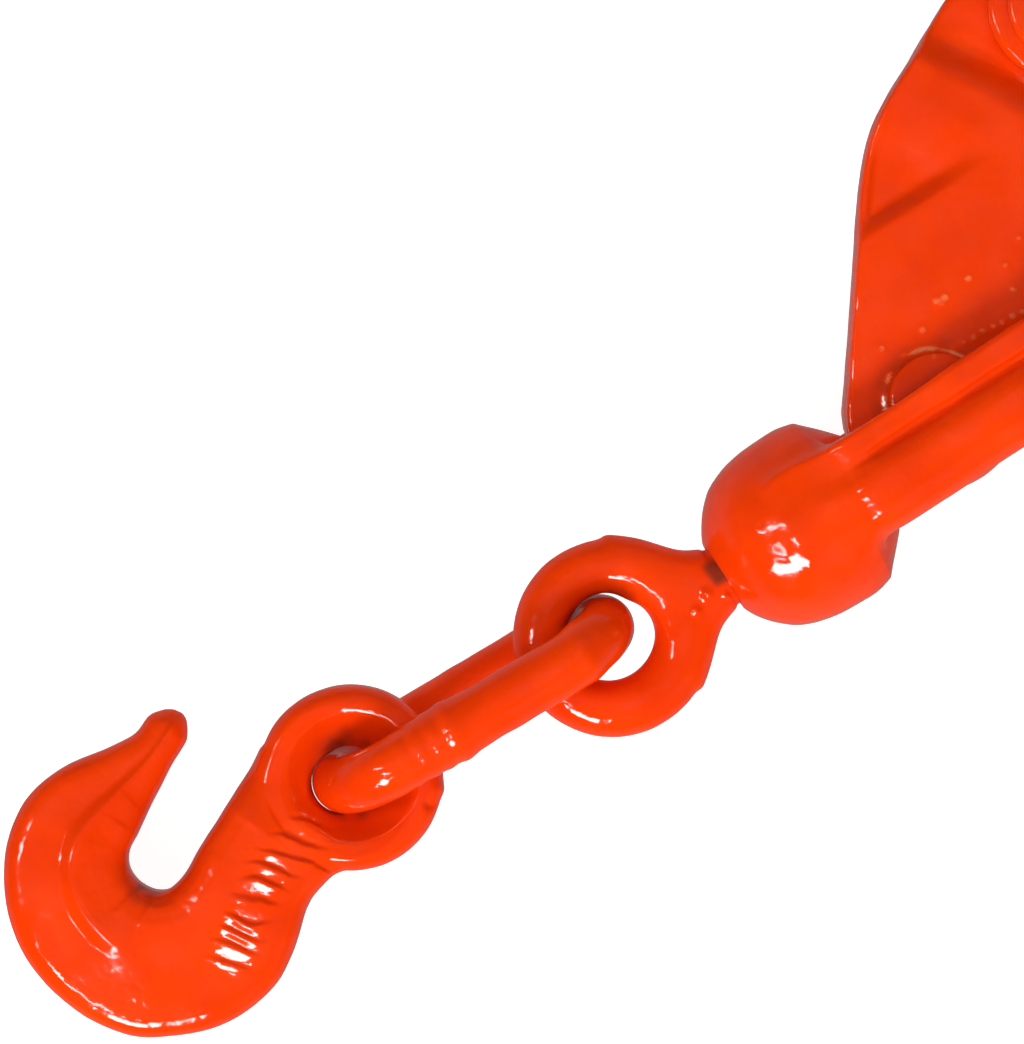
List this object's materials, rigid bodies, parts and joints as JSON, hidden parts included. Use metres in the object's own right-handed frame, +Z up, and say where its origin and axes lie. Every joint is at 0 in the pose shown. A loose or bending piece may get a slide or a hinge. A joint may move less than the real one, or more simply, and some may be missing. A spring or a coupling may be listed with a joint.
{
  "type": "lever load binder",
  "caption": "Lever load binder with a swivelling grab hook and coupling link on each yoke, for tightening a cargo chain.",
  "frame": {"origin": "centre of the lower head of the standing pivot's rivet, the lowest face of the part", "axes": "+Z up out of the lever's plane; -X the way the standing yoke and its hook pull; +Y from the standing pivot to the moving pivot"},
  "size_m": [0.5588, 0.4649, 0.0504],
  "materials": {
    "binder_paint": "thick gloss orange-red dipped enamel over a drop forging",
    "swivel_steel": "bare worn steel"
  },
  "bodies": {
    "lever": {"lever": "binder_paint"},
    "standing_yoke": {"standing_yoke": "binder_paint", "pivot_rivet_a": "binder_paint"},
    "moving_yoke": {"moving_yoke": "binder_paint", "pivot_rivet_b": "binder_paint"},
    "swivel_a": {"swivel_eye_a": "binder_paint", "swivel_washer_a": "swivel_steel", "swivel_button_a": "swivel_steel"},
    "link_a": {"coupling_link_a": "binder_paint"},
    "hook_a": {"grab_hook_a": "binder_paint"},
    "swivel_b": {"swivel_eye_b": "binder_paint", "swivel_washer_b": "swivel_steel", "swivel_button_b": "swivel_steel"},
    "link_b": {"coupling_link_b": "binder_paint"},
    "hook_b": {"grab_hook_b": "binder_paint"}
  },
  "joints": [
    {"name": "standing_pivot", "type": "hinge", "parent": "lever", "child": "standing_yoke", "pos_m": [0, 0, 0.0252], "axis": [0, 0, 1], "range_deg": [-94, 28]},
    {"name": "moving_pivot", "type": "hinge", "parent": "lever", "child": "moving_yoke", "pos_m": [0, 0.062, 0.0252], "axis": [0, 0, 1], "range_deg": [-69, 50]},
    {"name": "swivel_a", "type": "hinge", "parent": "standing_yoke", "child": "swivel_a", "pos_m": [-0.104, 0, 0.0252], "axis": [1, 0, 0], "continuous": true},
    {"name": "link_swing_a", "type": "hinge", "parent": "swivel_a", "child": "link_a", "pos_m": [-0.1642, 0.0045, 0.0252], "axis": [0.0309, 0.9828, 0.1822], "range_deg": [-40, 40]},
    {"name": "hook_swing_a", "type": "hinge", "parent": "link_a", "child": "hook_a", "pos_m": [-0.21297, 0.0065, 0.0252], "axis": [0, 0, 1], "range_deg": [-60, 34]},
    {"name": "swivel_b", "type": "hinge", "parent": "moving_yoke", "child": "swivel_b", "pos_m": [0.10513, 0.01298, 0.0252], "axis": [-0.9063, 0.4226, 0], "continuous": true},
    {"name": "link_swing_b", "type": "hinge", "parent": "swivel_b", "child": "link_b", "pos_m": [0.15779, -0.01654, 0.0252], "axis": [-0.4433, -0.8776, 0.1822], "range_deg": [-40, 40]},
    {"name": "hook_swing_b", "type": "hinge", "parent": "link_b", "child": "hook_b", "pos_m": [0.20114, -0.03896, 0.0252], "axis": [0, 0, 1], "range_deg": [-60, 34]}
  ]
}
